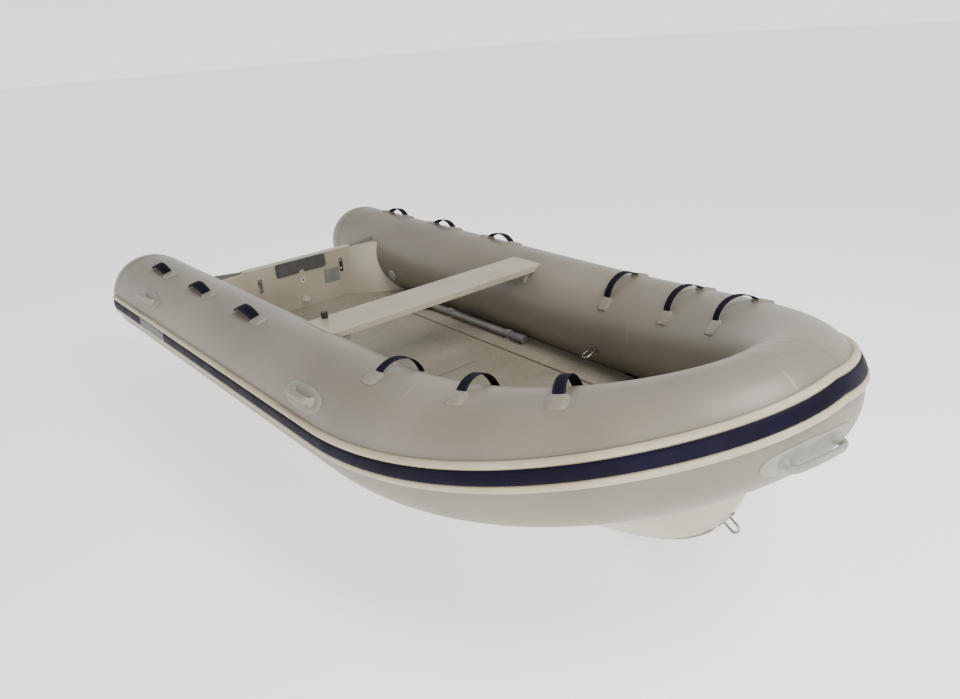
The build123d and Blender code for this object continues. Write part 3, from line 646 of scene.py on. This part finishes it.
def carry_mesh(q0, angle0):
    """Oval base with a raised rim and a dished middle, and a bar on two lugs that flare into it."""
    rings = np.array([0.0, 0.3, 0.55, 0.7, 0.78, 0.84, 0.90, 0.95, 0.985, 1.0, 1.0])
    height = np.array([2.0, 2.0, 2.1, 2.4, 3.4, 4.2, 4.1, 3.2, 2.6, 1.6, -2.5]) / 1000
    turn = np.linspace(0, 2 * math.pi, 84, endpoint=False)
    c, s = np.cos(turn), np.sin(turn)
    squared = (np.abs(c) ** 2.4 + np.abs(s) ** 2.4) ** (-1 / 2.4)
    u = rings[:, None] * squared * c * CARRY_LONG
    v = rings[:, None] * squared * s * CARRY_WIDE
    u[0], v[0] = 0.003 * c, 0.003 * s
    base = surface_at(q0, angle0, u, v, height[:, None] + 0 * u)
    last = (len(rings) - 1) * len(turn)
    faces = grid_faces(len(rings), len(turn), True) + [tuple(range(len(turn)))[::-1]]
    faces.append(tuple(range(last, last + len(turn))))
    base_part = (base, faces, np.stack([u, v], -1))
    # path of the bar: up, round a corner, along and down again
    corner = np.linspace(0, math.pi / 2, 10)
    bend = np.stack([BEND - LEG_OUT - BEND * np.cos(corner), BAR_RISE - BEND + BEND * np.sin(corner)], -1)
    left = np.concatenate([[[-LEG_OUT, -0.002], [-LEG_OUT, 0.006]], bend])
    across = np.stack([np.linspace(-0.040, 0.040, 9), np.full(9, BAR_RISE)], -1)
    path = np.concatenate([left, across, left[::-1] * [-1, 1]])
    ahead = np.gradient(path, axis=0)
    ahead /= np.linalg.norm(ahead, axis=1, keepdims=True)
    normal = np.stack([-ahead[:, 1], ahead[:, 0]], -1)
    swell = 1 + 0.9 * smooth_step((0.016 - path[:, 1]) / 0.014)
    ring = np.linspace(0, 2 * math.pi, 24, endpoint=False)
    thick = 0.0070 * np.sin(ring)[None] * swell[:, None]
    wide = 0.0105 * np.cos(ring)[None] * swell[:, None]
    along = path[:, :1] + thick * normal[:, :1]
    high = path[:, 1:] + thick * normal[:, 1:]
    bar = surface_at(q0, angle0, along, wide, high)
    bar_uv = np.stack([along, wide], -1)
    return gathered([base_part, (bar, tube_faces(len(path), len(ring)), bar_uv)])


carry_places = {"aft": (STERN_X + 0.450 - BOW_X, math.radians(34)), "mid": (-0.088, math.radians(32))}
for name, (q0, angle0) in carry_places.items():
    points, faces, uv = carry_mesh(q0, angle0)
    for side, placed in (("starboard", points), ("port", port_twin(points))):
        title = f"carry_handle_{name}_{side}"
        made = piece(title, placed, faces, moulded_grip, uv, crease=60)
        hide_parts(f"carry_{name}_{side}")
points, faces, uv = carry_mesh(math.radians(82.5), math.radians(-10))
made = piece("carry_handle_bow", points, faces, moulded_grip, uv, crease=60)
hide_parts("carry_bow")

# --- finishes of the CAD pieces ---------------------------------------------------------
sides = ("starboard", "port")
finishes = {
    gelcoat: ["transom", "knee_starboard", "knee_port"],
    # the sole and its panel: tread gelcoat whose darker tone is painted shade
    gelcoat_tread_painted_shade: ["sole", "sole_panel"],
    gusset_fabric: ["transom_gusset_starboard", "transom_gusset_port"],
    strip_pvc: ["keel_guard"],
    plain_vinyl: ["name_panels"],
    motor_pad: ["motor_plate_inner", "motor_plate_outer"],
    black_nylon: ["thwart_knob"],
    ivory_nylon: ["line_grommet", "drain_socket", "drain_plug"],
    grip_foam: ["oar_grip_starboard", "oar_grip_port"],
    painted_wood: ["thwart"],
    moulded_grip: ["thwart_pad_starboard", "thwart_pad_port"],
    grey_nylon: ["oar_clips"]
    + [f"valve{part}_{side}" for part in ("", "_cap") for side in (*sides, "bow")],
    anodised: ["oar_starboard", "oar_port"],
    plate_alloy: ["capacity_plate"],
    stainless: ["bow_eye", "bow_eye_plate", "stern_eye_plates"]
    + [f"{eye}_eye_{side}" for eye in ("stern", "lifting") for side in sides],
}
for material, names in finishes.items():
    for name in names:
        data = nodes[name].data
        data.materials.clear()
        data.materials.append(material)

# --- floor, light and camera ------------------------------------------------------------
floor_mesh = bpy.data.meshes.new("floor")
reach = 60.0
corners = [(-reach, -reach, 0), (reach, -reach, 0), (reach, reach, 0), (-reach, reach, 0)]
floor_mesh.from_pydata(corners, [], [(0, 1, 2, 3)])
floor = bpy.data.objects.new("floor", floor_mesh)
bpy.context.scene.collection.objects.link(floor)
white_board = finish(
    "studio_floor_white", "FAFAF9", "F7F7F6",
    mottle=2.0, rough=0.85, grain=0.01, depth=0.00001,
)
for node in white_board.node_tree.nodes:
    if node.type == "BSDF_PRINCIPLED":
        node.inputs["Emission Color"].default_value = (1.0, 1.0, 1.0, 1.0)
        node.inputs["Emission Strength"].default_value = 0.9  # the board is lit from below
floor_mesh.materials.append(white_board)


def area_light(name, place, aim, size, power):
    """A square soft light at a place, turned to its aim."""
    data = bpy.data.lights.new(name, "AREA")
    data.shape, data.size, data.energy = "SQUARE", size, power
    lamp = bpy.data.objects.new(name, data)
    lamp.location = place
    lamp.rotation_euler = (Vector(aim) - Vector(place)).to_track_quat("-Z", "Y").to_euler()
    bpy.context.scene.collection.objects.link(lamp)


area_light("key_near_bow", (3.5, -1.9, 1.3), (0.8, -0.2, 0.45), 1.2, 55)
area_light("key_over_bow", (3.0, 0.4, 3.8), (0.8, 0.0, 0.4), 1.6, 130)
area_light("top_soft", (-0.8, 0.8, 4.2), (-0.2, 0.0, 0.3), 3.5, 30)

# soft dome: bright round the horizon, dimmer overhead, by the height of the direction
world = bpy.data.worlds.new("studio")
world.use_nodes = True
sky = world.node_tree
towards = add_node(sky, "ShaderNodeTexCoord").outputs["Generated"]
upward = add_node(sky, "ShaderNodeSeparateXYZ", {"Vector": towards}).outputs["Z"]
fade = {"Value": upward, "From Min": 0.0, "From Max": 0.6, "To Min": 1.8, "To Max": 0.5}
glow = add_node(sky, "ShaderNodeMapRange", fade).outputs["Result"]
backdrop = sky.nodes["Background"]
backdrop.inputs["Color"].default_value = (1.0, 1.0, 1.0, 1.0)
sky.links.new(glow, backdrop.inputs["Strength"])
bpy.context.scene.world = world


def aimed_camera(place, yaw, pitch, roll, lens):
    """Camera looking along a yaw from +X and a pitch, then rolled about its own line of sight."""
    forward = Vector((math.cos(pitch) * math.cos(yaw), math.cos(pitch) * math.sin(yaw), math.sin(pitch)))
    right = forward.cross(Vector((0, 0, 1))).normalized()
    up = right.cross(forward)
    right, up = math.cos(roll) * right + math.sin(roll) * up, math.cos(roll) * up - math.sin(roll) * right
    data = bpy.data.cameras.new("camera")
    data.lens, data.sensor_width = lens, 36.0
    camera = bpy.data.objects.new("camera", data)
    turned = Matrix((right, up, -forward)).transposed().to_4x4()
    turned.translation = Vector(place)
    camera.matrix_world = turned
    bpy.context.scene.collection.objects.link(camera)
    bpy.context.scene.camera = camera


aimed_camera((2.345, -1.624, 1.604), math.radians(141.4), math.radians(-23.44), math.radians(-4.09), 27.6)
